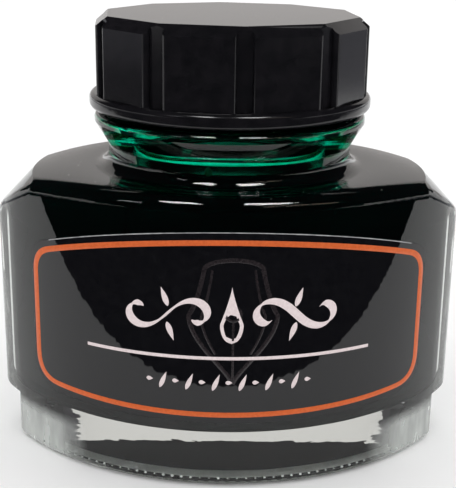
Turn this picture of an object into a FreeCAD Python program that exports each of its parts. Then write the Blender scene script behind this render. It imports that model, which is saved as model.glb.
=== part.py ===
import FreeCAD, Part
import math
import os
import re

import Sketcher

# Ink bottle: a thick moulded glass bottle with a lens-shaped plan and a threaded neck, filled with ink,
# a wrapped front label, and a ten-sided screw cap with a two-layer liner.
# X runs across the label, -Y is the label's side, +Z is up, and the origin is the middle of the base.

document = FreeCAD.newDocument("ink_bottle")
sheet = document.addObject("Spreadsheet::Sheet", "Sizes")

DIMENSIONS = {
    # lens-shaped plan: two arcs of one radius, their centres set off along Y
    "face_radius": 42.0,
    "face_offset": 19.5,
    "tip_rounding": 5.1,
    "side_half_width": 33.6,
    "base_corner": 2.0,
    "base_edge": 1.2,
    "glass_wall": 3.0,
    # heights on the glass body
    "ear_bottom": 7.7,
    "ear_curve": 1.3,
    "ear_reach": 35.3,
    "floor_top": 7.2,
    "crown_height": 44.8,
    "crown_radius": 22.0,
    "slope_radius": 30.6,
    "slope_height": 43.8,
    "slope_angle": 46.6,
    "shoulder_roll": 2.4,
    "cavity_rounding": 3.4,
    # foot: a shallow recess inside a footing ring that is cut by a row of short notches
    "recess_inset": 4.4,
    "recess_depth": 1.2,
    "notch_inset": 2.2,
    "notch_half_length": 0.55,
    "notch_half_width": 0.35,
    "notch_depth": 0.35,
    # neck, transfer bead and threaded finish
    "neck_radius": 18.8,
    "neck_foot": 2.2,
    "bead_start": 48.3,
    "bead_low": 50.9,
    "bead_low_radius": 20.4,
    "bead_flare": 51.8,
    "bead_radius": 20.9,
    "bead_top": 53.2,
    "bead_rounding": 0.9,
    "finish_radius": 17.0,
    "finish_top": 65.2,
    "lip_rounding": 0.8,
    "bore_radius": 15.0,
    "ink_level": 45.7,
    # screw thread shared by the finish and the cap
    "thread_lead": 4.23,
    "thread_turns": 1.25,
    "thread_start": 57.0,
    "thread_crest": 18.1,
    "thread_root_half": 1.0,
    "thread_crest_half": 0.45,
    "cap_thread_crest": 17.35,
    "cap_thread_root_half": 0.75,
    "cap_thread_crest_half": 0.35,
    "thread_bite": 0.3,
    # cap
    "skirt_bottom": 53.8,
    "ring_radius": 21.6,
    "ring_height": 2.3,
    "ring_rounding": 0.8,
    "cap_top": 67.75,
    "cap_flats": 20.4,
    "cap_turned": 4.6,
    "cap_bevel_in": 1.5,
    "cap_bevel_down": 1.8,
    "flute_half_width": 1.15,
    "flute_floor": 19.95,
    "flute_rounding": 0.6,
    "cap_bore": 18.45,
    "cap_roof": 66.25,
    "skirt_lead_in": 0.7,
    # liner
    "liner_radius": 18.0,
    "facing_thickness": 0.2,
    # label film on the front face
    "label_thickness": 0.12,
    "label_half_width": 29.9,
    "label_bottom": 10.5,
    "label_top": 39.85,
    "label_arch": 86.0,
    "label_bottom_arch": 430.0,
    "label_top_corner": 2.8,
    "label_corner": 4.2,
}

CAP_SIDES = 10
NOTCHES_PER_FACE = 47
TINY = 1e-3

for row, (alias, value) in enumerate(DIMENSIONS.items(), start=1):
    sheet.set(f"A{row}", alias)
    sheet.set(f"B{row}", str(value))
    sheet.setAlias(f"B{row}", alias)
document.recompute()

ORIGIN_POINT = (-1, 1)
Z_UP = FreeCAD.Vector(0, 0, 1)


def bound(text):
    """The expression with each size's name written as its cell in the sheet."""
    return re.sub(r"[a-z][a-z_]*", lambda name: "Sizes." + name[0] if name[0] in DIMENSIONS else name[0], text)


def size(text):
    """The number that an expression of the sheet's sizes gives."""
    answer = sheet.evalExpression(bound(text).replace("Sizes.", ""))
    return float(getattr(answer, "Value", answer))


def new_body(name):
    body = document.addObject("PartDesign::Body", name)
    body.Label = name
    return body


def origin_plane(body, role):
    return next(item for item in body.Origin.OriginFeatures if item.Role == role)


def new_sketch(body, name, role="XY_Plane", lift="0"):
    """A sketch on one of the body's own origin planes, moved along the plane's normal by lift."""
    sketch = body.newObject("Sketcher::SketchObject", name)
    sketch.AttachmentSupport = [(origin_plane(body, role), "")]
    sketch.MapMode = "FlatFace"
    sketch.setExpression("AttachmentOffset.Base.z", bound(lift))
    document.recompute()
    return sketch


def tie_point(sketch, curve, end, across, along):
    """Fixes a curve's end at two expressions, measured from the sketch's origin."""
    for kind, text in (("DistanceX", across), ("DistanceY", along)):
        value = size(text)
        if abs(value) < TINY:
            axis = -2 if kind == "DistanceX" else -1
            sketch.addConstraint(Sketcher.Constraint("PointOnObject", curve, end, axis))
            continue
        index = sketch.addConstraint(Sketcher.Constraint(kind, *ORIGIN_POINT, curve, end, value))
        sketch.setExpression(f"Constraints[{index}]", bound(text))


def arc_between(first, second, radius, bulge):
    """An arc of a given radius from first to second, bulging left (+1) or right (-1) of that run."""
    run = second - first
    middle = (first + second) * 0.5
    left = FreeCAD.Vector(-run.y, run.x, 0).normalize()
    reach = math.sqrt(radius ** 2 - (run.Length / 2) ** 2)
    centre = middle - left * reach * bulge
    top = centre + left * radius * bulge
    return Part.Arc(first, top, second)


def draw_outline(sketch, corners):
    """A closed outline. Each corner is (across, along) or (across, along, radius, bulge of the run after it)."""
    points = [FreeCAD.Vector(size(corner[0]), size(corner[1]), 0) for corner in corners]
    for index, corner in enumerate(corners):
        first, second = points[index], points[(index + 1) % len(points)]
        if len(corner) == 2:
            sketch.addGeometry(Part.LineSegment(first, second), False)
        else:
            sketch.addGeometry(arc_between(first, second, size(corner[2]), corner[3]), False)
    count = len(corners)
    ends = [run_ends(sketch, index, points[index]) for index in range(count)]
    for index in range(count):
        following = (index + 1) % count
        sketch.addConstraint(
            Sketcher.Constraint("Coincident", index, ends[index][1], following, ends[following][0]))
        tie_point(sketch, index, ends[index][0], corners[index][0], corners[index][1])
        if len(corners[index]) > 2:
            radius = sketch.addConstraint(Sketcher.Constraint("Radius", index, size(corners[index][2])))
            sketch.setExpression(f"Constraints[{radius}]", bound(corners[index][2]))
    document.recompute()


def run_ends(sketch, index, start):
    """Which ends of a drawn curve are its start and its finish: an arc is always stored anticlockwise."""
    return (1, 2) if sketch.getPoint(index, 1).isEqual(start, TINY) else (2, 1)


def add_feature(body, kind, name, sketch, **expressions):
    """A sketch-based feature, such as a Pad or Pocket, with its sizes tied to the sheet."""
    feature = body.newObject("PartDesign::" + kind, name)
    feature.Profile = sketch
    for target, text in expressions.items():
        feature.setExpression(target, bound(text))
    sketch.Visibility = False
    document.recompute()
    return feature


def revolve(body, kind, name, sketch):
    """A full turn of a sketch on the XZ plane about the body's Z axis."""
    feature = body.newObject("PartDesign::" + kind, name)
    feature.Profile = sketch
    feature.ReferenceAxis = (sketch, ["V_Axis"])
    feature.Angle = 360
    document.recompute()
    return feature


def dress(body, kind, name, edges, **expressions):
    """A fillet or chamfer on the edges of the body's last feature that a test picks out."""
    base = body.Tip
    names = [f"Edge{index}" for index, edge in enumerate(base.Shape.Edges, start=1) if edges(edge)]
    feature = body.newObject("PartDesign::" + kind, name)
    feature.Base = (base, names)
    for target, text in expressions.items():
        feature.setExpression(target, bound(text))
    document.recompute()
    return feature


def middle_of(edge):
    return edge.valueAt((edge.FirstParameter + edge.LastParameter) / 2)


def from_axis(edge):
    """How far the middle of an edge is from the Z axis."""
    spot = middle_of(edge)
    return math.hypot(spot.x, spot.y)


def runs_along(edge, axis):
    """Whether an edge is straight and parallel to X (0), Y (1) or Z (2)."""
    return isinstance(edge.Curve, Part.Line) and abs(edge.Curve.Direction[axis]) > 1 - TINY


def is_upright(edge):
    return runs_along(edge, 2)


def level(edge, height):
    box = edge.BoundBox
    return box.ZLength < TINY and abs(box.ZMin - height) < TINY


def ring_at(edge, radius, height):
    """Whether an edge is a level circle about the Z axis of one radius at one height."""
    curve = edge.Curve
    return (level(edge, height) and hasattr(curve, "Radius") and abs(curve.Radius - radius) < TINY
            and math.hypot(curve.Center.x, curve.Center.y) < TINY)


def lens_tip(radius):
    """Where two arcs of the lens meet on the X axis."""
    return f"sqrt(({radius})^2 - face_offset^2)"


def lens_corners(radius):
    tip = lens_tip(radius)
    return [(tip, "0", radius, -1), ("-" + tip, "0", radius, -1)]


def trimmed_corners(radius, half_width):
    """The lens cut off square at each side."""
    side = f"(sqrt(({radius})^2 - ({half_width})^2) - face_offset)"
    across = f"({half_width})"
    return [
        (across, "-" + side),
        (across, side, radius, -1),
        ("-" + across, side),
        ("-" + across, "-" + side, radius, -1),
    ]


def is_wall_top(edge):
    """Whether an edge parts an upright wall from the shoulder above it."""
    spot = middle_of(edge)
    if is_upright(edge) or spot.z < size("ear_bottom + 2 * ear_curve"):
        return False
    gap = size("face_radius") - math.hypot(spot.x, abs(spot.y) + size("face_offset"))
    return gap < TINY or abs(spot.x) > size("side_half_width")


def build_glass_outside():
    body = new_body("glass_outside")

    foot_plan = new_sketch(body, "foot_plan")
    draw_outline(foot_plan, trimmed_corners("face_radius", "side_half_width"))
    add_feature(body, "Pad", "foot", foot_plan, Length="ear_bottom + ear_curve")
    dress(body, "Fillet", "foot_corners", is_upright, Radius="base_corner")
    dress(body, "Fillet", "foot_edge", lambda edge: level(edge, 0), Radius="base_edge")

    body_plan = new_sketch(body, "body_plan", lift="ear_bottom")
    draw_outline(body_plan, lens_corners("face_radius"))
    add_feature(body, "Pad", "body_block", body_plan, Length="crown_height - ear_bottom")
    foot_side = size("side_half_width")
    dress(body, "Fillet", "tips", lambda edge: is_upright(edge) and abs(middle_of(edge).x) > foot_side,
          Radius="tip_rounding")

    under_ear = new_sketch(body, "under_ear", role="XZ_Plane")
    draw_outline(under_ear, [
        ("ear_reach", "ear_bottom", "ear_curve", -1),
        ("ear_reach + ear_curve", "ear_bottom + ear_curve"),
        ("face_radius", "ear_bottom + ear_curve"),
        ("face_radius", "ear_bottom"),
    ])
    revolve(body, "Groove", "ear_underside", under_ear)

    above_shoulder = new_sketch(body, "above_shoulder", role="XZ_Plane")
    draw_outline(above_shoulder, shoulder_corners("crown_height", "crown_radius", "slope_radius", "slope_height"))
    revolve(body, "Groove", "shoulder", above_shoulder)
    dress(body, "Fillet", "shoulder_edge", is_wall_top, Radius="shoulder_roll")

    neck = new_sketch(body, "neck_profile", role="XZ_Plane")
    draw_outline(neck, [
        ("0", "floor_top"),
        ("neck_radius", "floor_top"),
        ("neck_radius", "bead_start"),
        ("bead_low_radius", "bead_low"),
        ("bead_radius", "bead_flare"),
        ("bead_radius", "bead_top"),
        ("finish_radius", "bead_top"),
        ("finish_radius", "finish_top"),
        ("0", "finish_top"),
    ])
    revolve(body, "Revolution", "neck", neck)
    neck_radius, crown = size("neck_radius"), size("crown_height")
    dress(body, "Fillet", "neck_foot_edge", lambda edge: ring_at(edge, neck_radius, crown), Radius="neck_foot")
    lip = size("finish_radius"), size("finish_top")
    dress(body, "Fillet", "lip_edge", lambda edge: ring_at(edge, *lip), Radius="lip_rounding")
    bead = size("bead_radius"), size("bead_top")
    dress(body, "Fillet", "bead_edge", lambda edge: ring_at(edge, *bead), Radius="bead_rounding")

    add_thread(body, "finish_thread", "XZ_Plane", "finish_radius", "thread_crest",
               "thread_root_half", "thread_crest_half", "thread_start")
    cut_foot(body)
    return body


def add_thread(body, name, role, root, crest, root_half, crest_half, height):
    """A right-hand helical ridge from a wall's radius (root) to its crest, around the Z axis."""
    inward = "-" if size(crest) > size(root) else "+"
    base = f"{root} {inward} thread_bite"
    section = new_sketch(body, name + "_section", role=role)
    corners = [
        (base, f"{height} - {root_half}"),
        (crest, f"{height} - {crest_half}"),
        (crest, f"{height} + {crest_half}"),
        (base, f"{height} + {root_half}"),
    ]
    draw_outline(section, corners)
    ridge = body.newObject("PartDesign::AdditiveHelix", name)
    ridge.Profile = section
    ridge.ReferenceAxis = (section, ["V_Axis"])
    ridge.Mode = "pitch-turns-angle"
    ridge.setExpression("Pitch", bound("thread_lead"))
    ridge.setExpression("Turns", bound("thread_turns"))
    ridge.LeftHanded = False
    document.recompute()
    return ridge


def cut_foot(body):
    """The shallow recess under the base, and the row of notches in the footing ring on each side of it."""
    recess_plan = new_sketch(body, "recess_plan")
    draw_outline(recess_plan, trimmed_corners("face_radius - recess_inset", "side_half_width - recess_inset"))
    recess = add_feature(body, "Pocket", "recess", recess_plan, Length="recess_depth")
    recess.Reversed = True
    for side, offset in (("front", "face_offset"), ("back", "-face_offset")):
        cut_notches(body, side, offset)


def cut_notches(body, side, offset):
    """One notch in the middle of a face's footing ring, repeated both ways around the face's own centre."""
    plan = new_sketch(body, side + "_notch_plan")
    plan.setExpression("AttachmentOffset.Base.y", bound(offset))
    document.recompute()
    facing = "-" if side == "front" else ""
    middle = "(face_radius - notch_inset)"
    inner, outer = f"{facing}({middle} - notch_half_length)", f"{facing}({middle} + notch_half_length)"
    draw_outline(plan, [
        ("-notch_half_width", inner),
        ("notch_half_width", inner),
        ("notch_half_width", outer),
        ("-notch_half_width", outer),
    ])
    notch = add_feature(body, "Pocket", side + "_notch", plan, Length="notch_depth")
    notch.Reversed = True
    document.recompute()
    reach = "asin((side_half_width - notch_inset) / (face_radius - notch_inset))"
    for turn in (False, True):
        row = body.newObject("PartDesign::PolarPattern", f"{side}_notches_{'left' if turn else 'right'}")
        row.Originals = [notch]
        row.Axis = (plan, ["N_Axis"])
        row.Reversed = turn
        row.setExpression("Angle", bound(reach))
        row.Occurrences = (NOTCHES_PER_FACE + 1) // 2
        body.Tip = row
        document.recompute()


def shoulder_corners(crown, crown_radius, slope_radius, slope_height):
    """The space above a shoulder: level by the neck, then a crowned arc, then a straight slope."""
    run = f"(({slope_radius}) - ({crown_radius}))"
    drop = f"(({crown}) - ({slope_height}))"
    arc = f"({run}^2 + {drop}^2) / (2 * {drop})"
    far = "face_radius"
    return [
        (crown_radius, crown, arc, 1),
        (slope_radius, slope_height),
        (far, f"({slope_height}) - ({far} - ({slope_radius})) * tan(slope_angle)"),
        (far, "finish_top"),
        (crown_radius, "finish_top"),
    ]


def build_ink_space():
    """The hollow of the bottle: the cavity inside the walls and the bore up through the neck."""
    body = new_body("ink_space")
    inner_radius = "face_radius - glass_wall"
    plan = new_sketch(body, "cavity_plan", lift="floor_top")
    draw_outline(plan, lens_corners(inner_radius))
    crown = "crown_height - glass_wall"
    inner_slope = "slope_radius - glass_wall * tan(slope_angle / 2)"
    add_feature(body, "Pad", "cavity_block", plan, Length=f"{crown} - floor_top")
    dress(body, "Fillet", "cavity_tips", is_upright, Radius="tip_rounding")

    above = new_sketch(body, "above_cavity", role="XZ_Plane")
    draw_outline(above, shoulder_corners(crown, "crown_radius", inner_slope, "slope_height - glass_wall"))
    revolve(body, "Groove", "cavity_shoulder", above)
    bottom = size("floor_top")
    dress(body, "Fillet", "cavity_floor_edge", lambda edge: level(edge, bottom), Radius="cavity_rounding")

    bore = new_sketch(body, "bore_profile", role="XZ_Plane")
    draw_outline(bore, [
        ("0", f"{crown} - glass_wall"),
        ("bore_radius", f"{crown} - glass_wall"),
        ("bore_radius", "finish_top + glass_wall"),
        ("0", "finish_top + glass_wall"),
    ])
    revolve(body, "Revolution", "bore", bore)
    mouth = size("bore_radius"), size(crown)
    dress(body, "Chamfer", "bore_foot_edge", lambda edge: ring_at(edge, *mouth), Size="cavity_rounding")
    return body


def build_glass_bottle(outside, hollow):
    bottle = document.addObject("Part::Cut", "glass_bottle")
    bottle.Label = "glass_bottle"
    bottle.Base = outside
    bottle.Tool = hollow
    bottle.Refine = True
    return bottle


def build_ink(hollow):
    """The ink fills the hollow up to its level, low in the neck."""
    above = document.addObject("Part::Cylinder", "air_above_ink")
    above.setExpression("Radius", bound("face_radius"))
    above.setExpression("Height", bound("finish_top"))
    above.setExpression("Placement.Base.z", bound("ink_level"))
    ink = document.addObject("Part::Cut", "ink_fill")
    ink.Label = "ink_fill"
    ink.Base = hollow
    ink.Tool = above
    return ink


def build_label():
    """A printed film on the front face: a thin curved sheet trimmed to an arched outline."""
    sheet_body = new_body("label_sheet")
    plan = new_sketch(sheet_body, "label_sheet_plan")
    film = "face_radius + label_thickness"
    side = "sqrt(({0})^2 - label_half_width^2) - face_offset"
    inner, outer = side.format("face_radius"), side.format(film)
    draw_outline(plan, [
        ("-label_half_width", f"-({outer})", film, -1),
        ("label_half_width", f"-({outer})"),
        ("label_half_width", f"-({inner})", "face_radius", 1),
        ("-label_half_width", f"-({inner})"),
    ])
    add_feature(sheet_body, "Pad", "label_film", plan, Length="label_top")

    outline_body = new_body("label_outline")
    outline = new_sketch(outline_body, "label_outline_plan", role="XZ_Plane")
    shoulder = "label_top - label_arch + sqrt(label_arch^2 - label_half_width^2)"
    hem = "label_bottom + label_bottom_arch - sqrt(label_bottom_arch^2 - label_half_width^2)"
    draw_outline(outline, [
        ("-label_half_width", hem, "label_bottom_arch", -1),
        ("label_half_width", hem),
        ("label_half_width", shoulder, "label_arch", -1),
        ("-label_half_width", shoulder),
    ])
    add_feature(outline_body, "Pad", "label_block", outline, Length="face_radius")
    waist = size("(label_bottom + label_top) / 2")
    dress(outline_body, "Fillet", "label_lower_corners",
          lambda edge: runs_along(edge, 1) and middle_of(edge).z < waist, Radius="label_corner")
    dress(outline_body, "Fillet", "label_upper_corners",
          lambda edge: runs_along(edge, 1) and middle_of(edge).z > waist, Radius="label_top_corner")

    label = document.addObject("Part::Common", "front_label")
    label.Label = "front_label"
    label.Base = sheet_body
    label.Tool = outline_body
    return label


def decagon_corners():
    """The cap's flats meet at these corners."""
    corners = []
    for side in range(CAP_SIDES):
        angle = f"(cap_turned + {360 * side / CAP_SIDES - 90})"
        reach = f"cap_flats / cos({180 / CAP_SIDES})"
        corners.append((f"{reach} * cos{angle}", f"{reach} * sin{angle}"))
    return corners


def build_cap():
    """The screw cap: ten flats with a flute at each corner, a ring at the skirt and a bevelled top."""
    body = new_body("cap_shell")
    flats = new_sketch(body, "cap_flats_plan", lift="skirt_bottom")
    draw_outline(flats, decagon_corners())
    add_feature(body, "Pad", "cap_block", flats, Length="cap_top - skirt_bottom")
    top = size("cap_top")
    bevel = dress(body, "Chamfer", "cap_bevel", lambda edge: level(edge, top))
    bevel.ChamferType = "Two distances"
    bevel.setExpression("Size", bound("cap_bevel_in"))
    bevel.setExpression("Size2", bound("cap_bevel_down"))
    document.recompute()
    cut_flutes(body)

    ring = new_sketch(body, "ring_profile", role="XZ_Plane")
    draw_outline(ring, [
        ("cap_bore", "skirt_bottom"),
        ("ring_radius - ring_rounding", "skirt_bottom", "ring_rounding", -1),
        ("ring_radius", "skirt_bottom + ring_rounding"),
        ("ring_radius", "skirt_bottom + ring_height - ring_rounding", "ring_rounding", -1),
        ("ring_radius - ring_rounding", "skirt_bottom + ring_height"),
        ("cap_bore", "skirt_bottom + ring_height"),
    ])
    revolve(body, "Revolution", "skirt_ring", ring)

    inside = new_sketch(body, "cap_inside", role="XZ_Plane")
    draw_outline(inside, [
        ("0", "skirt_bottom - ring_height"),
        ("cap_bore + skirt_lead_in", "skirt_bottom - ring_height"),
        ("cap_bore + skirt_lead_in", "skirt_bottom"),
        ("cap_bore", "skirt_bottom + skirt_lead_in"),
        ("cap_bore", "cap_roof"),
        ("0", "cap_roof"),
    ])
    revolve(body, "Groove", "cap_hollow", inside)
    add_thread(body, "cap_thread", "YZ_Plane", "cap_bore", "cap_thread_crest",
               "cap_thread_root_half", "cap_thread_crest_half", "thread_start - thread_lead / 4")
    return body


def cut_flutes(body):
    """One upright flute at a corner of the cap, repeated at every corner, with its edges rounded."""
    plan = new_sketch(body, "flute_plan", lift="skirt_bottom")
    angle = "(cap_turned - 90)"
    outward = f"cos{angle}", f"sin{angle}"
    corners = []
    for reach, across in (("flute_floor", "-"), ("ring_radius", "-"), ("ring_radius", ""), ("flute_floor", "")):
        sideways = across + "flute_half_width"
        corners.append((f"{reach} * {outward[0]} - ({sideways}) * {outward[1]}",
                        f"{reach} * {outward[1]} + ({sideways}) * {outward[0]}"))
    draw_outline(plan, corners)
    flute = add_feature(body, "Pocket", "flute", plan, Length="cap_top - skirt_bottom")
    flute.Reversed = True
    document.recompute()
    around = body.newObject("PartDesign::PolarPattern", "flutes")
    around.Originals = [flute]
    around.Axis = (plan, ["N_Axis"])
    around.Angle = 360
    around.Occurrences = CAP_SIDES
    body.Tip = around
    document.recompute()
    flats = size("cap_flats")
    dress(body, "Fillet", "flute_edges", lambda edge: is_upright(edge) and from_axis(edge) > flats,
          Radius="flute_rounding")


def build_disc(name, radius, bottom, height):
    """One layer of the cap's liner."""
    disc = document.addObject("Part::Cylinder", name)
    disc.Label = name
    disc.setExpression("Radius", bound(radius))
    disc.setExpression("Height", bound(height))
    disc.setExpression("Placement.Base.z", bound(bottom))
    return disc


outside = build_glass_outside()
hollow = build_ink_space()
sub_parts = [
    build_glass_bottle(outside, hollow),
    build_ink(hollow),
    build_label(),
    build_cap(),
    build_disc("liner_facing", "liner_radius", "finish_top", "facing_thickness"),
    build_disc("liner_backing", "liner_radius", "finish_top + facing_thickness",
               "cap_roof - finish_top - facing_thickness"),
]
document.recompute()

failed = [item.Name for item in document.Objects if "Invalid" in item.State or "Error" in item.State]
if failed:
    raise RuntimeError("features failed: " + ", ".join(failed))
for piece in sub_parts:
    if piece.Shape.isNull() or not piece.Shape.isValid():
        raise RuntimeError("bad shape: " + piece.Label)

os.makedirs("parts", exist_ok=True)
for piece in sub_parts:
    piece.Shape.exportStep(f"parts/{piece.Label}.step")
    print(piece.Label, len(piece.Shape.Solids), "solid", round(piece.Shape.Volume / 1000, 2), "cm3")
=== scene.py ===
import math
import random

import bpy
from mathutils import Matrix, Vector


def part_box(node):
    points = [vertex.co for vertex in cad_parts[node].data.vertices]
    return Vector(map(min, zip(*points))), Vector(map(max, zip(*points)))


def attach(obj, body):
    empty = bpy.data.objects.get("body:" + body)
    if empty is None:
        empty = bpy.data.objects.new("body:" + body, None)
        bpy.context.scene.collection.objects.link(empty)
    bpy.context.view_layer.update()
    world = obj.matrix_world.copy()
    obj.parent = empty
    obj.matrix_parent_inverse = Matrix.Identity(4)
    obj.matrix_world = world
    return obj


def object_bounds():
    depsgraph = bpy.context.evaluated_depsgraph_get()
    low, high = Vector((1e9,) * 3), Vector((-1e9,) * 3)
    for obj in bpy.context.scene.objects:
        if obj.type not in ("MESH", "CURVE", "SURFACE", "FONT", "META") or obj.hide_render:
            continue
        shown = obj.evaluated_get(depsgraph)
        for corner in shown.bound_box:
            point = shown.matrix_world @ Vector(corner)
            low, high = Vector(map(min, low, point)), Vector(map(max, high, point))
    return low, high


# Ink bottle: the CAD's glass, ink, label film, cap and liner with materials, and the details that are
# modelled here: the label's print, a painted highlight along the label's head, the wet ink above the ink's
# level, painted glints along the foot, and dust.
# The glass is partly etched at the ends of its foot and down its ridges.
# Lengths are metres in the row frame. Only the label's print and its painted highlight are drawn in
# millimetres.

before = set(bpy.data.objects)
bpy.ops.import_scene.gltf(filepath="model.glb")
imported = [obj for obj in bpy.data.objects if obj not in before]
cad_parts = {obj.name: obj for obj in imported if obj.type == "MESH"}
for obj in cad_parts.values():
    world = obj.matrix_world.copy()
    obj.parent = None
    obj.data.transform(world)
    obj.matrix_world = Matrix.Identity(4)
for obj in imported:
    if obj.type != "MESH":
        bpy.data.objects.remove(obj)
CAD_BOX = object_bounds()

MM = 0.001
SEAM = 0.001 * MM
GLASS_INDEX = 1.52
INK_INDEX = 1.34

# the label's film, and how far its print stands above it and reaches into it
FILM = 0.12 * MM
PRINT_RISE = 0.012 * MM
PRINT_SINK = 0.05 * MM
FINE_RELIEF = 0.002 * MM
PEN_ANGLE = math.radians(40)
HAIRLINE = 0.02

# the studio: the room's half width and front, the back cards, and the heights of its cards
ROOM_HALF = 1.6
ROOM_FRONT = -0.9
CEILING = 1.2
BACK_HALF = 1.0
BACK = 1.1
GREY_TOP = 0.72
WALL_TOP = 2.2
LAMP_HEIGHT = 0.9
LOW_LAMP = (0.55, 0.66)
NEAR_BLACK = (0.02, 0.018, 0.022)
TABLE_GREY = (0.27, 0.27, 0.3)

GLASS_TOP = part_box("glass_bottle")[1].z
INK_LOW, INK_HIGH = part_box("ink_fill")
LABEL_LOW, LABEL_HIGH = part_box("front_label")

# the front face is an arc: its radius and centre follow from the label's half width and depth
LABEL_DEPTH = LABEL_HIGH.y - LABEL_LOW.y - FILM
FACE_RADIUS = (LABEL_HIGH.x ** 2 + LABEL_DEPTH ** 2) / (2 * LABEL_DEPTH)
FACE_CENTRE = LABEL_LOW.y + FILM + FACE_RADIUS


# ---------------------------------------------------------------- materials

def new_material(name):
    """An empty material: its node tree's nodes, its links and its output node."""
    material = bpy.data.materials.new(name)
    material.use_nodes = True
    nodes, links = material.node_tree.nodes, material.node_tree.links
    nodes.clear()
    return material, nodes, links, nodes.new("ShaderNodeOutputMaterial")


def add_noise(nodes, links, scale, detail=4.0, stretch=(1, 1, 1)):
    """A noise texture in the piece's own coordinates, squeezed along an axis where stretch is large."""
    place = nodes.new("ShaderNodeTexCoord")
    mapping = nodes.new("ShaderNodeMapping")
    mapping.inputs["Scale"].default_value = stretch
    links.new(place.outputs["Object"], mapping.inputs["Vector"])
    noise = nodes.new("ShaderNodeTexNoise")
    noise.inputs["Scale"].default_value = scale
    noise.inputs["Detail"].default_value = detail
    links.new(mapping.outputs["Vector"], noise.inputs["Vector"])
    return noise


def add_bump(nodes, links, height, depth):
    bump = nodes.new("ShaderNodeBump")
    bump.inputs["Distance"].default_value = depth
    links.new(height, bump.inputs["Height"])
    return bump


def blend_colours(nodes, links, noise, first, second):
    ramp = nodes.new("ShaderNodeValToRGB")
    for element, position, colour in zip(ramp.color_ramp.elements, (0.35, 0.65), (first, second)):
        element.position = position
        element.color = (*colour, 1)
    links.new(noise.outputs["Fac"], ramp.inputs["Fac"])
    return ramp.outputs["Color"]


def combine(nodes, links, operation, first, second):
    joined = nodes.new("ShaderNodeMath")
    joined.operation = operation
    links.new(first, joined.inputs[0])
    links.new(second, joined.inputs[1])
    return joined.outputs[0]


def remap(nodes, links, value, source=(0, 1), target=(0, 1)):
    """A value carried from one range to another, and held at its ends."""
    span = nodes.new("ShaderNodeMapRange")
    for name, number in zip(("From Min", "From Max", "To Min", "To Max"), (*source, *target)):
        span.inputs[name].default_value = number
    links.new(value, span.inputs["Value"])
    return span.outputs["Result"]


def mask_along(nodes, links, axis, low, high, both_sides=False):
    """0 at one place along an axis of the row frame and 1 at another; both_sides ignores the sign."""
    place = nodes.new("ShaderNodeTexCoord")
    parts = nodes.new("ShaderNodeSeparateXYZ")
    links.new(place.outputs["Object"], parts.inputs[0])
    value = parts.outputs[axis]
    if both_sides:
        distance = nodes.new("ShaderNodeMath")
        distance.operation = "ABSOLUTE"
        links.new(value, distance.inputs[0])
        value = distance.outputs[0]
    return remap(nodes, links, value, (low, high))


def solid_material(name, first, second, roughness, scale, depth, gloss=0.5):
    """An opaque surface whose colour drifts between two tones, with a fine relief."""
    material, nodes, links, output = new_material(name)
    shader = nodes.new("ShaderNodeBsdfPrincipled")
    noise = add_noise(nodes, links, scale)
    links.new(blend_colours(nodes, links, noise, first, second), shader.inputs["Base Color"])
    shader.inputs["Roughness"].default_value = roughness
    shader.inputs["Specular IOR Level"].default_value = gloss
    relief = add_bump(nodes, links, noise.outputs["Fac"], depth)
    links.new(relief.outputs["Normal"], shader.inputs["Normal"])
    links.new(shader.outputs[0], output.inputs["Surface"])
    return material


def mould_relief(nodes, links):
    """Slow waves over the whole glass, and closer ripples in the foot that fade out above the ink's floor."""
    ripples = add_noise(nodes, links, 150, detail=2.5, stretch=(1, 1, 1.6))
    fading = nodes.new("ShaderNodeMixRGB")
    links.new(mask_along(nodes, links, "Z", INK_LOW.z, INK_LOW.z + 3 * MM), fading.inputs["Fac"])
    links.new(ripples.outputs["Fac"], fading.inputs["Color1"])
    fading.inputs["Color2"].default_value = (0.5, 0.5, 0.5, 1)
    rippled = add_bump(nodes, links, fading.outputs["Color"], 0.05 * MM)
    waves = add_noise(nodes, links, 90, detail=1.5, stretch=(1, 1, 0.35))
    waved = add_bump(nodes, links, waves.outputs["Fac"], 0.04 * MM)
    links.new(rippled.outputs["Normal"], waved.inputs["Normal"])
    return waved.outputs["Normal"]


def etching(nodes, links):
    """How far the glass is etched: most at the ends of the foot, less down the ridges, in upright streaks."""
    low = mask_along(nodes, links, "Z", INK_LOW.z + 0.5 * MM, INK_LOW.z - 1.5 * MM)
    ends = mask_along(nodes, links, "X", 21.5 * MM, 27 * MM, both_sides=True)
    ridges = mask_along(nodes, links, "X", 32.8 * MM, 36.2 * MM, both_sides=True)
    foot = combine(nodes, links, "MULTIPLY", ends, low)
    lightly = remap(nodes, links, ridges, target=(0, 0.36))
    etched = combine(nodes, links, "MAXIMUM", foot, lightly)
    streaks = add_noise(nodes, links, 500, detail=2, stretch=(1, 1, 0.25))
    mottle = remap(nodes, links, streaks.outputs["Fac"], (0.3, 0.7), (0.34, 0.54))
    return combine(nodes, links, "MULTIPLY", etched, mottle)


def glass_material():
    """Clear moulded glass with a slight green cast, slow mould waves, and a mottled finish at its ends."""
    material, nodes, links, output = new_material("clear_glass")
    shader = nodes.new("ShaderNodeBsdfPrincipled")
    shader.inputs["Base Color"].default_value = (0.90, 0.935, 0.905, 1)
    shader.inputs["IOR"].default_value = GLASS_INDEX
    links.new(mould_relief(nodes, links), shader.inputs["Normal"])
    patches = etching(nodes, links)
    for name, clear, frosted in (("Roughness", 0.0, 0.55), ("Transmission Weight", 1.0, 0.1)):
        links.new(remap(nodes, links, patches, target=(clear, frosted)), shader.inputs[name])
    links.new(shader.outputs[0], output.inputs["Surface"])
    return material


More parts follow.
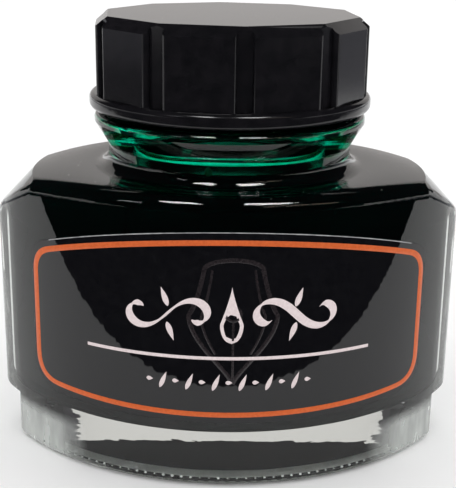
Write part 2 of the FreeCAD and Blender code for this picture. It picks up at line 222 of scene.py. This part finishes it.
def ink_material():
    """Ink behind glass: it swallows light, and its walls mirror what meets them at a shallow angle."""
    material, nodes, links, output = new_material("ink")
    dark = nodes.new("ShaderNodeBsdfDiffuse")
    noise = add_noise(nodes, links, 60)
    tone = blend_colours(nodes, links, noise, (0.0, 0.0025, 0.002), (0.0, 0.005, 0.004))
    links.new(tone, dark.inputs["Color"])
    mirror = nodes.new("ShaderNodeBsdfGlossy")
    mirror.inputs["Roughness"].default_value = 0.02
    share = nodes.new("ShaderNodeFresnel")
    share.inputs["IOR"].default_value = INK_INDEX / GLASS_INDEX
    above = mask_along(nodes, links, "Z", INK_LOW.z + 1.2 * MM, INK_LOW.z + 2.4 * MM)
    below = mask_along(nodes, links, "Z", INK_HIGH.z - 8 * MM, INK_HIGH.z - 10 * MM)
    walls = combine(nodes, links, "MULTIPLY", above, below)
    mix = nodes.new("ShaderNodeMixShader")
    links.new(combine(nodes, links, "MULTIPLY", share.outputs[0], walls), mix.inputs["Fac"])
    links.new(dark.outputs[0], mix.inputs[1])
    links.new(mirror.outputs[0], mix.inputs[2])
    links.new(mix.outputs[0], output.inputs["Surface"])
    return material


def film_material():
    """The wet ink left on the wall of the neck: it tints the light that passes through it."""
    material, nodes, links, output = new_material("wet_ink")
    tint = nodes.new("ShaderNodeBsdfTransparent")
    streaks = add_noise(nodes, links, 160, detail=3, stretch=(1, 1, 2.4))
    colour = blend_colours(nodes, links, streaks, (0.0, 0.55, 0.38), (0.02, 0.86, 0.66))
    links.new(colour, tint.inputs["Color"])
    links.new(tint.outputs[0], output.inputs["Surface"])
    return material


def paint(node, material):
    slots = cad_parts[node].data.materials
    slots.clear()
    slots.append(material)


# ---------------------------------------------------------------- meshes

def link_object(name, data):
    thing = bpy.data.objects.new(name, data)
    bpy.context.scene.collection.objects.link(thing)
    return thing


def add_mesh(name, vertices, faces, material, smooth=False):
    mesh = bpy.data.meshes.new(name)
    mesh.from_pydata(vertices, [], faces)
    mesh.materials.append(material)
    if smooth:
        mesh.shade_smooth()
    return link_object(name, mesh)


def add_piece(name, vertices, faces, material, body, slot, smooth=True):
    piece = add_mesh(name, vertices, faces, material, smooth)
    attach(piece, body)


def lathe(profile, steps=96):
    """The surface swept by (radius, height) points turning about the Z axis."""
    vertices, faces = [], []
    for step in range(steps):
        turn = 2 * math.pi * step / steps
        vertices += [(radius * math.cos(turn), radius * math.sin(turn), height) for radius, height in profile]
    count = len(profile)
    for step in range(steps):
        here, there = step * count, (step + 1) % steps * count
        faces += [(here + i, there + i, there + i + 1, here + i + 1) for i in range(count - 1)]
    return vertices, faces


def ring_faces(rings, steps):
    """The faces between rings of points, where each ring closes on itself."""
    faces = []
    for ring in range(rings):
        low, high = ring * steps, (ring + 1) * steps
        for step in range(steps):
            after = (step + 1) % steps
            faces.append((low + step, low + after, high + after, high + step))
    return faces


def join_meshes(parts):
    """Several pairs of vertices and faces as one pair."""
    vertices, faces = [], []
    for more_vertices, more_faces in parts:
        faces += [tuple(len(vertices) + corner for corner in face) for face in more_faces]
        vertices += more_vertices
    return vertices, faces


def widest_at(node, height, band):
    """How far a node's vertices reach from the Z axis within a band around a height."""
    near = [spot.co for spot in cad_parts[node].data.vertices if abs(spot.co.z - height) < band]
    return max(math.hypot(spot.x, spot.y) for spot in near)


# ---------------------------------------------------------------- drawing on the label

def on_label(along, height, lift):
    """A point on the label: arc length from its middle, height, and lift off the film."""
    turn = along / FACE_RADIUS
    reach = FACE_RADIUS + FILM + lift
    return (reach * math.sin(turn), FACE_CENTRE - reach * math.cos(turn), height)


def bend(corner_from, corner, corner_to, steps=8):
    """Points of a rounded corner, without its two ends."""
    spots = []
    for step in range(1, steps):
        t = step / steps
        spots.append(corner_from * (1 - t) ** 2 + corner * 2 * t * (1 - t) + corner_to * t ** 2)
    return spots


def arched_frame(half, top, top_drop, bottom, bottom_rise, top_corner, bottom_corner, steps=40):
    """A closed outline with an arched head and hem and rounded corners, in millimetres."""
    def head(x):
        return Vector((x, top - top_drop * (x / half) ** 2))

    def hem(x):
        return Vector((x, bottom + bottom_rise * (x / half) ** 2))

    low, high = hem(half), head(half)
    right = [hem((half - bottom_corner) * step / steps) for step in range(steps + 1)]
    right += bend(right[-1], low, low + Vector((0, bottom_corner)))
    right += [low + Vector((0, bottom_corner)), high - Vector((0, top_corner))]
    right += bend(right[-1], high, head(half - top_corner))
    right += [head((half - top_corner) * step / steps) for step in range(steps, -1, -1)]
    left = [Vector((-spot.x, spot.y)) for spot in reversed(right[1:-1])]
    return right + left


def stroke(path, widths, closed, rise):
    """One raised strip of print, or of painted highlight, along (along, height) points in millimetres, as
    vertices and faces.
    """
    vertices, faces = [], []
    count = len(path)
    section = ((-1.0, -PRINT_SINK), (-0.8, rise), (0.8, rise), (1.0, -PRINT_SINK))
    for index, spot in enumerate(path):
        before = path[index - 1] if closed or index else spot
        after = path[(index + 1) % count] if closed or index < count - 1 else spot
        run = (after - before).normalized()
        side = Vector((-run.y, run.x)) * widths[index] / 2
        for across, lift in section:
            place = spot + side * across
            vertices.append(on_label(place.x * MM, place.y * MM, lift))
    for index in range(count if closed else count - 1):
        here, there = index * 4, (index + 1) % count * 4
        faces += [(here + i, there + i, there + i + 1, here + i + 1) for i in range(3)]
    return vertices, faces


def pen_widths(path, thin, thick, fade_steps=8):
    """The widths that a broad pen held at one angle would leave along a path that fades at both ends."""
    widths = []
    for index in range(len(path)):
        run = path[min(index + 1, len(path) - 1)] - path[max(index - 1, 0)]
        widths.append(thin + (thick - thin) * abs(math.sin(math.atan2(run.y, run.x) - PEN_ANGLE)))
    ends = min(fade_steps, len(path) // 3)
    for index in range(ends):
        fade = (index + 1) / ends
        widths[index] *= fade
        widths[-1 - index] *= fade
    return widths


def add_print(name, strokes, material, rise=PRINT_RISE):
    """Several (path, widths, closed) strokes of print, or of painted highlight, joined into one piece."""
    vertices, faces = join_meshes(stroke(*line, rise) for line in strokes)
    add_piece(name, vertices, faces, material, "bottle", "label_film")


def leaf(foot, angle, length, width, steps=16):
    """A pointed stroke, widest a third of the way along."""
    tip = Vector((math.cos(angle), math.sin(angle))) * length
    path = [foot + tip * step / steps for step in range(steps + 1)]
    widths = [width * math.sin(math.pi * (step / steps) ** 0.7) + HAIRLINE for step in range(steps + 1)]
    return path, widths, False


def scroll(centre, size, mirror, reach=1.75, half_steps=70):
    """A line that curls up at both ends: its bend grows evenly away from its middle."""
    place, ahead = Vector((0, 0)), []
    for step in range(half_steps):
        u = reach * (step + 0.5) / half_steps
        turn = math.pi / 2 * u * u - math.pi / 4
        place = place + Vector((math.cos(turn), math.sin(turn))) * reach / half_steps
        ahead.append(place.copy())
    path = [-spot for spot in reversed(ahead)] + [Vector((0, 0))] + ahead
    return [centre + Vector((spot.x * mirror, spot.y)) * size for spot in path]


def drop_outline(foot, height, width, belly=0.34, steps=28):
    """A filled drop, drawn as one upright stroke: widest at its belly and pointed at its head."""
    path = [foot + Vector((0, height * step / steps)) for step in range(steps + 1)]
    widths = []
    for step in range(steps + 1):
        t = step / steps
        if t < belly:
            share = math.sqrt(1 - (1 - t / belly) ** 2)
        else:
            share = ((1 - t) / (1 - belly)) ** 1.25
        widths.append(width * share + HAIRLINE)
    return path, widths, False


def nib_half_width(t, widest=6.4, narrowing=2.2, shoulder=0.62):
    """Half the nib's width at a share of its height: it swells from its point to a shoulder, then narrows."""
    if t < shoulder:
        return widest * math.sin(math.pi / 2 * t / shoulder) ** 1.3
    return widest - narrowing * ((t - shoulder) / (1 - shoulder)) ** 0.6


def nib_strokes(centre, low, high):
    """A faint pen nib: its double outline, its slit, its rounded crown and its breather hole."""
    height, steps, hole_radius, crown_rise = high - low, 30, 1.1, 1.5
    edge = [Vector((nib_half_width(step / steps), low + height * step / steps)) for step in range(steps + 1)]
    lines = []
    for spots, scale, width in ((edge, 1, 0.8), (edge[8:], 0.72, 0.45)):
        for side in (1, -1):
            lines.append(([Vector((centre + spot.x * scale * side, spot.y)) for spot in spots], width))
    slit_height = height * 0.56
    slit = [Vector((centre, low + slit_height * step / 12)) for step in range(13)]
    crown = []
    for step in range(21):
        turn = math.pi * step / 20
        crown.append(Vector((centre + edge[-1].x * math.cos(turn), high + crown_rise * math.sin(turn))))
    lines += [(slit, 0.4), (crown, 0.8)]
    heart = Vector((centre, low + slit_height + hole_radius))
    hole = []
    for step in range(24):
        turn = 2 * math.pi * step / 24
        hole.append(heart + Vector((math.cos(turn), math.sin(turn))) * hole_radius)
    strokes = [(path, [width] * len(path), False) for path, width in lines]
    strokes.append((hole, [0.5] * len(hole), True))
    return strokes


def border_widths(outline, level=0.95, upright_extra=0.3):
    """The border is printed a little wider where it runs upright."""
    widths = []
    for index in range(len(outline)):
        run = outline[(index + 1) % len(outline)] - outline[index - 1]
        widths.append(level + upright_extra * abs(run.y) / run.length)
    return widths


# ---------------------------------------------------------------- the label's print, and a painted highlight on its head

def print_border():
    orange = solid_material("orange_print", (0.53, 0.088, 0.012), (0.62, 0.112, 0.019), 0.32, 2600,
                            FINE_RELIEF, 0.4)
    outline = arched_frame(half=32.3, top=38.25, top_drop=5.1, bottom=11.83, bottom_rise=1.1,
                           top_corner=3.0, bottom_corner=4.2)
    add_print("label_border", [(outline, border_widths(outline), True)], orange)


def print_rule(pale):
    left, length, height, steps = -21.9, 43.6, 20.8, 60
    rule = [Vector((left + length * step / steps, height)) for step in range(steps + 1)]
    add_print("label_rule", [(rule, [0.6] * len(rule), False)], pale)


def paint_head_highlight():
    """A painted highlight: the pale line just inside the film's arched head, where the film's cut edge would
    catch the light.
    """
    glint = solid_material("painted_film_edge_highlight", (0.22, 0.22, 0.23), (0.42, 0.42, 0.43), 0.3, 900, FINE_RELIEF)
    left, length, inset, steps = -29, 58.5, 0.12, 80
    head, corner_reach, corner_height = LABEL_HIGH.z / MM, 32.9, 34.45
    fall = (head - corner_height) / corner_reach ** 2
    along = [left + length * step / steps for step in range(steps + 1)]
    edge = [Vector((x, head - inset - fall * x ** 2)) for x in along]
    add_print("label_head_highlight", [(edge, [0.15] * len(edge), False)], glint)


def print_flourish(pale):
    """A drop between two scrolls, each with two leaves."""
    middle = Vector((0.3, 27.2))
    flourish = [drop_outline(middle + Vector((0, -4.1)), 8.6, 4.0)]
    for side in (-1, 1):
        curl = scroll(middle + Vector((9.3 * side, 0.2)), 6.1, side)
        flourish.append((curl, pen_widths(curl, 0.35, 1.5), False))
        for aside, up, angle in ((9.2, 1.3, 70), (9.4, -1.1, 250)):
            turn = math.radians(angle if side > 0 else 180 - angle)
            flourish.append(leaf(middle + Vector((aside * side, up)), turn, 3.0, 1.0))
    add_print("label_flourish", flourish, pale)


def print_row(pale):
    """Slanting leaves with short dashes between them."""
    pitch, height = 1.95, 17.0
    row = []
    for index in range(-6, 7):
        foot = Vector((index * pitch, height))
        if index % 2:
            row.append(leaf(foot + Vector((-0.45, -1.3)), math.radians(68), 2.8, 0.8))
        else:
            row.append(leaf(foot + Vector((-0.5, 0)), 0.0, 1.0, 0.75))
    add_print("label_row", row, pale)


def print_label():
    pale = solid_material("pale_print", (0.66, 0.56, 0.565), (0.74, 0.645, 0.645), 0.4, 2600,
                          FINE_RELIEF, 0.4)
    faint = solid_material("faint_print", (0.012, 0.009, 0.011), (0.022, 0.017, 0.019), 0.25, 3000,
                           FINE_RELIEF)
    print_border()
    print_rule(pale)
    # a painted highlight along the film's head, drawn with the same strips as the print
    paint_head_highlight()
    print_flourish(pale)
    print_row(pale)
    add_print("label_ghost", nib_strokes(0.5, 16.8, 34.2), faint, PRINT_RISE / 3)


# ---------------------------------------------------------------- ink in the neck

def add_hanging_drop(bore, level):
    """One drop of ink on the front wall of the neck, wider below its middle than above."""
    green = solid_material("ink_drop", (0.0, 0.09, 0.055), (0.0, 0.2, 0.13), 0.05, 900, 0.004 * MM)
    aside, off_wall, rings, steps = 3.0 * MM, 0.35 * MM, 8, 16
    heart = Vector((-aside, -math.sqrt((bore - off_wall) ** 2 - aside ** 2), level + 1.0 * MM))
    vertices = []
    for ring in range(rings + 1):
        tilt = math.pi * ring / rings
        swell = math.sin(tilt) * (1 + 0.25 * math.cos(tilt))
        for step in range(steps):
            turn = 2 * math.pi * step / steps
            reach = (math.cos(turn) * swell * 0.55, math.sin(turn) * swell * 0.3, -math.cos(tilt) * 0.8)
            vertices.append(heart + Vector(reach) * MM)
    add_piece("hanging_drop", vertices, ring_faces(rings, steps), green, "bottle", "ink")


def add_wet_neck():
    """Above the ink's level: the tinted film on the wall, the curl of ink at its foot, and a hanging drop."""
    level = INK_HIGH.z
    bore = widest_at("ink_fill", level, 0.1 * MM)
    gap = 0.03 * MM
    top = GLASS_TOP - 2.2 * MM
    wall = [(bore + gap, level + (top - level) * step / 12) for step in range(13)]
    add_piece("ink_film", *lathe(wall), film_material(), "bottle", "ink")

    wet = solid_material("ink_surface", (0.0, 0.004, 0.003), (0.0, 0.012, 0.009), 0.06, 300, 0.01 * MM, 0.08)
    climb, reach = 0.7 * MM, 1.9 * MM
    curl = []
    for step in range(9):
        turn = math.pi / 2 * step / 8
        curl.append((bore - gap - reach * (1 - math.cos(turn)), level + climb * (1 - math.sin(turn)) + gap))
    curl.append((0, level + gap))
    add_piece("ink_meniscus", *lathe(curl), wet, "bottle", "ink")
    add_hanging_drop(bore, level)


# ---------------------------------------------------------------- dust, and painted glints along the foot

def add_dust(name, node, body, slot, count, inner, outer, seed):
    """Pale specks that lie on the upward faces of a node, between two distances from the Z axis."""
    draw = random.Random(seed)
    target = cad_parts[node]
    vertices, faces = [], []
    while len(faces) < count:
        turn = draw.uniform(0, 2 * math.pi)
        reach = draw.uniform(inner, outer)
        start = Vector((reach * math.cos(turn), reach * math.sin(turn), CAD_BOX[1][2] + MM))
        found, spot, normal, _ = target.ray_cast(start, Vector((0, 0, -1)))
        if not found or normal.z < 0.6:
            continue
        size = draw.uniform(0.05, 0.13) * MM
        heading = draw.uniform(0, math.pi)
        base = len(vertices)
        for corner in range(5):
            angle = heading + 2 * math.pi * corner / 5
            radius = size * draw.uniform(0.5, 1.2)
            lying = Vector((radius * math.cos(angle), radius * math.sin(angle), 0))
            vertices.append(spot + normal * 0.01 * MM + lying)
        faces.append(tuple(range(base, base + 5)))
    lint = solid_material(name + "_lint", (0.5, 0.5, 0.48), (0.8, 0.8, 0.78), 0.9, 4000, FINE_RELIEF)
    add_piece(name, vertices, faces, lint, body, slot, smooth=False)


def add_foot_glints(count=47, rings=5, steps=10):
    """Painted glints: small pale beads along the foot of the front face, above the notches of the footing
    ring, standing in for the light that the notches catch.
    """
    draw = random.Random(11)
    glint_beads = []
    span = math.asin(29 * MM / FACE_RADIUS)
    for index in range(count):
        along = span * (2 * index / (count - 1) - 1)
        size = draw.uniform(0.14, 0.27) * MM
        depth = FACE_CENTRE - FACE_RADIUS * math.cos(along)
        heart = Vector((FACE_RADIUS * math.sin(along), depth, 1.35 * MM))
        glint_bead = []
        for ring in range(rings + 1):
            tilt = math.pi * ring / rings
            for step in range(steps):
                turn = 2 * math.pi * step / steps
                reach = (math.sin(tilt) * math.cos(turn), 0.3 * math.sin(tilt) * math.sin(turn),
                         0.8 * math.cos(tilt))
                glint_bead.append(heart + Vector(reach) * size)
        glint_beads.append((glint_bead, ring_faces(rings, steps)))
    # painted glints: pale dots, seen through the glass, that stand in for the light caught by the notches
    pale = solid_material("foot_glint", (0.16, 0.18, 0.17), (0.62, 0.66, 0.63), 0.15, 300, FINE_RELIEF)
    add_piece("foot_glints", *join_meshes(glint_beads), pale, "bottle", "glass")


# ---------------------------------------------------------------- studio

def add_camera():
    """The camera stands in front of the label, a little above the cap, and looks down at the bottle."""
    pitch, yaw, roll = math.radians(17.21), math.radians(-1.02), math.radians(0.77)
    distance, height = 167.33 * MM, 82.95 * MM
    data = bpy.data.cameras.new("camera")
    data.sensor_width = 36
    data.lens = 80.1
    data.clip_start = 0.01
    camera = link_object("camera", data)
    turn = (Matrix.Rotation(yaw, 4, "Z") @ Matrix.Rotation(math.pi / 2 - pitch, 4, "X")
            @ Matrix.Rotation(roll, 4, "Z"))
    place = Matrix.Translation((distance * math.sin(yaw), -distance * math.cos(yaw), height))
    camera.matrix_world = place @ turn
    bpy.context.scene.camera = camera


def add_sweep():
    """A pale floor that curves up into a backdrop."""
    pale = solid_material("pale_sweep", (0.93, 0.93, 0.93), (0.95, 0.95, 0.95), 0.9, 40, 0.0, 0.1)
    below, half, bend_start, radius, steps = -0.15 * MM, 2.0, 0.9, 0.5, 12
    profile = [(-half, below), (bend_start, below)]
    for step in range(1, steps + 1):
        angle = math.pi / 2 * step / steps
        profile.append((bend_start + radius * math.sin(angle), radius - radius * math.cos(angle) + below))
    profile.append((bend_start + radius, WALL_TOP))
    vertices = [(x, y, z) for y, z in profile for x in (-half, half)]
    faces = [(2 * i, 2 * i + 1, 2 * i + 3, 2 * i + 2) for i in range(len(profile) - 1)]
    add_mesh("studio_sweep", vertices, faces, pale, smooth=True)


def add_card(name, vertices, faces, colour):
    """A card of one colour that only reflections and refractions see."""
    material, nodes, links, output = new_material(name)
    glow = nodes.new("ShaderNodeEmission")
    glow.inputs["Color"].default_value = (*colour, 1)
    links.new(glow.outputs[0], output.inputs["Surface"])
    card = add_mesh(name, vertices, faces, material)
    card.visible_camera = False
    card.visible_diffuse = False
    card.visible_shadow = False


def flat_card(name, low, high, height, colour):
    """A level card between two (x, y) corners."""
    corners = [(low[0], low[1]), (high[0], low[1]), (high[0], high[1]), (low[0], high[1])]
    add_card(name, [(x, y, height) for x, y in corners], [(0, 1, 2, 3)], colour)


def standing_card(name, route, bottom, top, colour):
    """An upright card along a route of (x, y) points."""
    vertices = [(x, y, z) for x, y in route for z in (bottom, top)]
    faces = [(2 * i, 2 * i + 2, 2 * i + 3, 2 * i + 1) for i in range(len(route) - 1)]
    add_card(name, vertices, faces, colour)


def add_dark_table():
    """The table in front of the white sheet: its near edge is a shallow, slightly ragged arc."""
    draw = random.Random(7)
    vertices, faces = [], []
    count, half, height = 480, 0.42, 0.3 * MM
    nearest, curve, ragged = -0.0575, 1.5, 0.9 * MM
    for step in range(count + 1):
        x = -half + 2 * half * step / count
        edge = nearest + curve * x * x + draw.uniform(-1, 1) * ragged
        vertices += [(x, edge, height), (x * 2.4, -1.4, height)]
    for step in range(count):
        faces.append((2 * step, 2 * step + 1, 2 * step + 3, 2 * step + 2))
    add_card("dark_table", vertices, faces, (0.012, 0.011, 0.013))


def add_room():
    """What the glass and the cap mirror: a dark room around the pale sheet, with a grey card behind."""
    flat_card("side_table_left", (-ROOM_HALF, -0.3), (-0.3, 0.6), 0.2 * MM, TABLE_GREY)
    flat_card("side_table_right", (0.3, -0.3), (ROOM_HALF, 0.6), 0.2 * MM, TABLE_GREY)
    front = [(-ROOM_HALF, ROOM_FRONT), (ROOM_HALF, ROOM_FRONT)]
    standing_card("dark_room", front, 0, CEILING, (0.01, 0.009, 0.01))
    flat_card("dark_ceiling", (-ROOM_HALF, ROOM_FRONT), (ROOM_HALF, 0.45), CEILING, (0.015, 0.014, 0.016))
    for side, name in ((-1, "dark_wall_left"), (1, "dark_wall_right")):
        route = [(BACK_HALF * side, BACK), (1.5 * side, 0.6), (ROOM_HALF * side, ROOM_FRONT)]
        standing_card(name, route, 0.16, WALL_TOP, NEAR_BLACK)
    back = [(-BACK_HALF, BACK), (BACK_HALF, BACK)]
    standing_card("grey_back", back, 0.06, GREY_TOP, (0.66, 0.635, 0.62))
    standing_card("dark_back", back, GREY_TOP, WALL_TOP, NEAR_BLACK)


def add_lamps():
    """Two broad lamps overhead and in front, and two small ones lower down."""
    for name, left, right in (("lamp_left", -0.46, -0.20), ("lamp_right", 0.11, 0.45)):
        flat_card(name, (left, -0.85), (right, -0.5), LAMP_HEIGHT, (16, 16, 16))
    standing_card("low_lamp_left", [(-0.8, -0.6), (-0.62, -0.7)], *LOW_LAMP, (3.5, 3.5, 3.7))
    standing_card("low_lamp_right", [(0.25, -0.85), (0.8, -0.6)], *LOW_LAMP, (1.6, 1.35, 1.15))


def light_studio():
    world = bpy.data.worlds.new("studio")
    bpy.context.scene.world = world
    world.use_nodes = True
    background = world.node_tree.nodes["Background"]
    background.inputs["Color"].default_value = (1, 1, 1, 1)
    background.inputs["Strength"].default_value = 1.16
    add_dark_table()
    add_room()
    add_lamps()
    # light that passes through the glass bounces more often than usual before it leaves
    scene = bpy.context.scene
    scene.view_settings.view_transform = "Standard"
    scene.cycles.max_bounces = 32
    scene.cycles.glossy_bounces = 24
    scene.cycles.transmission_bounces = 24
    scene.cycles.transparent_max_bounces = 16


# ---------------------------------------------------------------- the bottle

def add_weld(thing):
    """Joins the corners that a CAD mesh repeats along its seams."""
    weld = thing.modifiers.new("weld", "WELD")
    weld.merge_threshold = SEAM


def soften_cap():
    """A narrow rounding on the cap's edges, so that they catch the light."""
    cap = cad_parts["cap_shell"]
    add_weld(cap)
    soften = cap.modifiers.new("soften", "BEVEL")
    soften.width = 0.13 * MM
    soften.segments = 2
    soften.limit_method = "ANGLE"
    soften.angle_limit = math.radians(35)
    soften.harden_normals = True


def press_ink():
    """The ink swells a little into the glass, so that no air is left between the two."""
    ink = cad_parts["ink_fill"]
    add_weld(ink)
    swell = ink.modifiers.new("swell", "DISPLACE")
    swell.strength = 0.04 * MM
    swell.mid_level = 0


def dress_cad():
    film = solid_material("label_film", (0.0035, 0.0035, 0.0045), (0.005, 0.005, 0.006), 0.03, 800, 0.0)
    plastic = solid_material("cap_plastic", (0.004, 0.004, 0.005), (0.007, 0.0065, 0.008), 0.15, 500,
                             0.004 * MM, 0.38)
    facing = solid_material("liner_film", (0.72, 0.72, 0.66), (0.82, 0.82, 0.78), 0.35, 400, 0.01 * MM)
    board = solid_material("liner_board", (0.42, 0.34, 0.24), (0.56, 0.47, 0.35), 0.85, 1500, 0.03 * MM)
    paint("glass_bottle", glass_material())
    paint("ink_fill", ink_material())
    paint("front_label", film)
    paint("cap_shell", plastic)
    paint("liner_facing", facing)
    paint("liner_backing", board)
    soften_cap()
    press_ink()


dress_cad()
print_label()
add_wet_neck()
add_dust("shoulder_dust", "glass_bottle", "bottle", "glass", 46, 19 * MM, 30 * MM, 3)
add_dust("cap_dust", "cap_shell", "cap", "cap_plastic", 12, 2 * MM, 18 * MM, 5)
add_foot_glints()
add_camera()
add_sweep()
light_studio()
